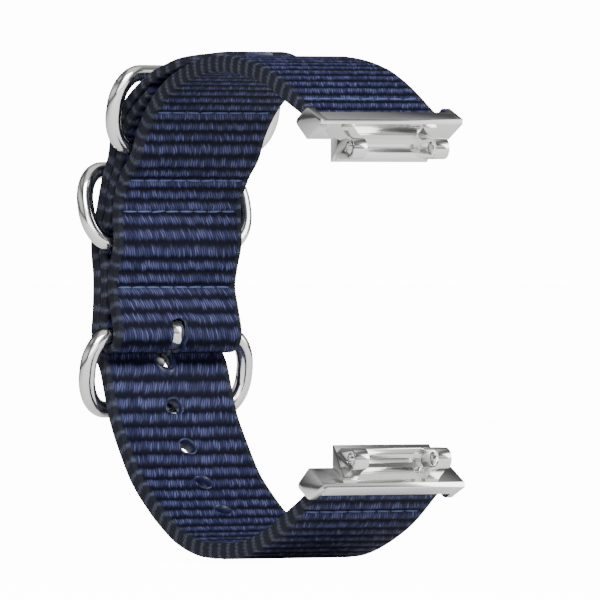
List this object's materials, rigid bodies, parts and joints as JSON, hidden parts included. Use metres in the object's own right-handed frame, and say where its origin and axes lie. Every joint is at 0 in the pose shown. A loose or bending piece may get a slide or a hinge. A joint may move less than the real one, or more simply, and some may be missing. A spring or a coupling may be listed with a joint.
{
  "type": "fitness tracker band",
  "caption": "Woven two-piece wrist band buckled into a loop, with square-cornered wire rings, a flat tongue and two polished metal ends that hook onto a tracker.",
  "frame": {"origin": "centre of the whole band's bounding box, inside the wrist opening", "axes": "+X across the webbing, -Y towards the tracker that the two ends hold, +Y towards the buckle and keepers, +Z towards the short strap's end"},
  "size_m": [0.0248, 0.0632, 0.0632],
  "materials": {
    "webbing": "ribbed woven nylon, navy, matt with a light sheen on the ribs",
    "sewing_thread": "twisted nylon thread, navy",
    "polished_metal": "mirror polished steel, cast and drawn",
    "pin_steel": "turned stainless steel",
    "spring_wire": "drawn spring wire"
  },
  "bodies": {
    "band": {"short_strap": "webbing", "long_strap": "webbing", "seam_thread_fold": "sewing_thread", "seam_thread_middle": "sewing_thread", "seam_thread_arch": "sewing_thread", "seam_thread_top": "sewing_thread", "seam_thread_upper_loop": "sewing_thread", "seam_thread_lower_loop": "sewing_thread", "upper_pin_tube": "pin_steel", "upper_pin_spring": "spring_wire", "lower_pin_tube": "pin_steel", "lower_pin_spring": "spring_wire"},
    "buckle": {"buckle_ring": "polished_metal"},
    "tongue": {"buckle_tongue": "polished_metal"},
    "lower_keeper": {"keeper_ring_lower": "polished_metal"},
    "upper_keeper": {"keeper_ring_upper": "polished_metal"},
    "upper_end": {"upper_adapter": "polished_metal"},
    "lower_end": {"lower_adapter": "polished_metal"},
    "upper_pin_tip_left_body": {"upper_pin_tip_left": "pin_steel"},
    "upper_pin_tip_right_body": {"upper_pin_tip_right": "pin_steel"},
    "lower_pin_tip_left_body": {"lower_pin_tip_left": "pin_steel"},
    "lower_pin_tip_right_body": {"lower_pin_tip_right": "pin_steel"}
  },
  "joints": [
    {"name": "buckle_hinge", "type": "hinge", "parent": "band", "child": "buckle", "pos_m": [0, 0.02693, -0.00402], "axis": [1, 0, 0], "range_deg": [0, 4]},
    {"name": "tongue_hinge", "type": "hinge", "parent": "buckle", "child": "tongue", "pos_m": [0, 0.02693, -0.00402], "axis": [1, 0, 0], "range_deg": [0, 5]},
    {"name": "lower_keeper_hinge", "type": "hinge", "parent": "band", "child": "lower_keeper", "pos_m": [0, 0.02696, 0.00763], "axis": [-1, 0, 0], "range_deg": [0, 25]},
    {"name": "upper_keeper_hinge", "type": "hinge", "parent": "band", "child": "upper_keeper", "pos_m": [0, 0.02208, 0.01978], "axis": [-1, 0, 0], "range_deg": [0, 25]},
    {"name": "upper_end_hinge", "type": "hinge", "parent": "band", "child": "upper_end", "pos_m": [0, -0.02522, 0.02263], "axis": [1, 0, 0], "range_deg": [-55, 5]},
    {"name": "lower_end_hinge", "type": "hinge", "parent": "band", "child": "lower_end", "pos_m": [0, -0.02572, -0.02197], "axis": [1, 0, 0], "range_deg": [-5, 55]},
    {"name": "upper_pin_tip_left_slide", "type": "slide", "parent": "band", "child": "upper_pin_tip_left_body", "axis": [1, 0, 0], "range_m": [0, 0.0007], "stiffness_N_per_m": 200, "springref_m": -0.002, "deforming": ["upper_pin_spring"]},
    {"name": "upper_pin_tip_right_slide", "type": "slide", "parent": "band", "child": "upper_pin_tip_right_body", "axis": [-1, 0, 0], "range_m": [0, 0.0007], "stiffness_N_per_m": 200, "springref_m": -0.002, "deforming": ["upper_pin_spring"]},
    {"name": "lower_pin_tip_left_slide", "type": "slide", "parent": "band", "child": "lower_pin_tip_left_body", "axis": [1, 0, 0], "range_m": [0, 0.0007], "stiffness_N_per_m": 200, "springref_m": -0.002, "deforming": ["lower_pin_spring"]},
    {"name": "lower_pin_tip_right_slide", "type": "slide", "parent": "band", "child": "lower_pin_tip_right_body", "axis": [-1, 0, 0], "range_m": [0, 0.0007], "stiffness_N_per_m": 200, "springref_m": -0.002, "deforming": ["lower_pin_spring"]}
  ]
}
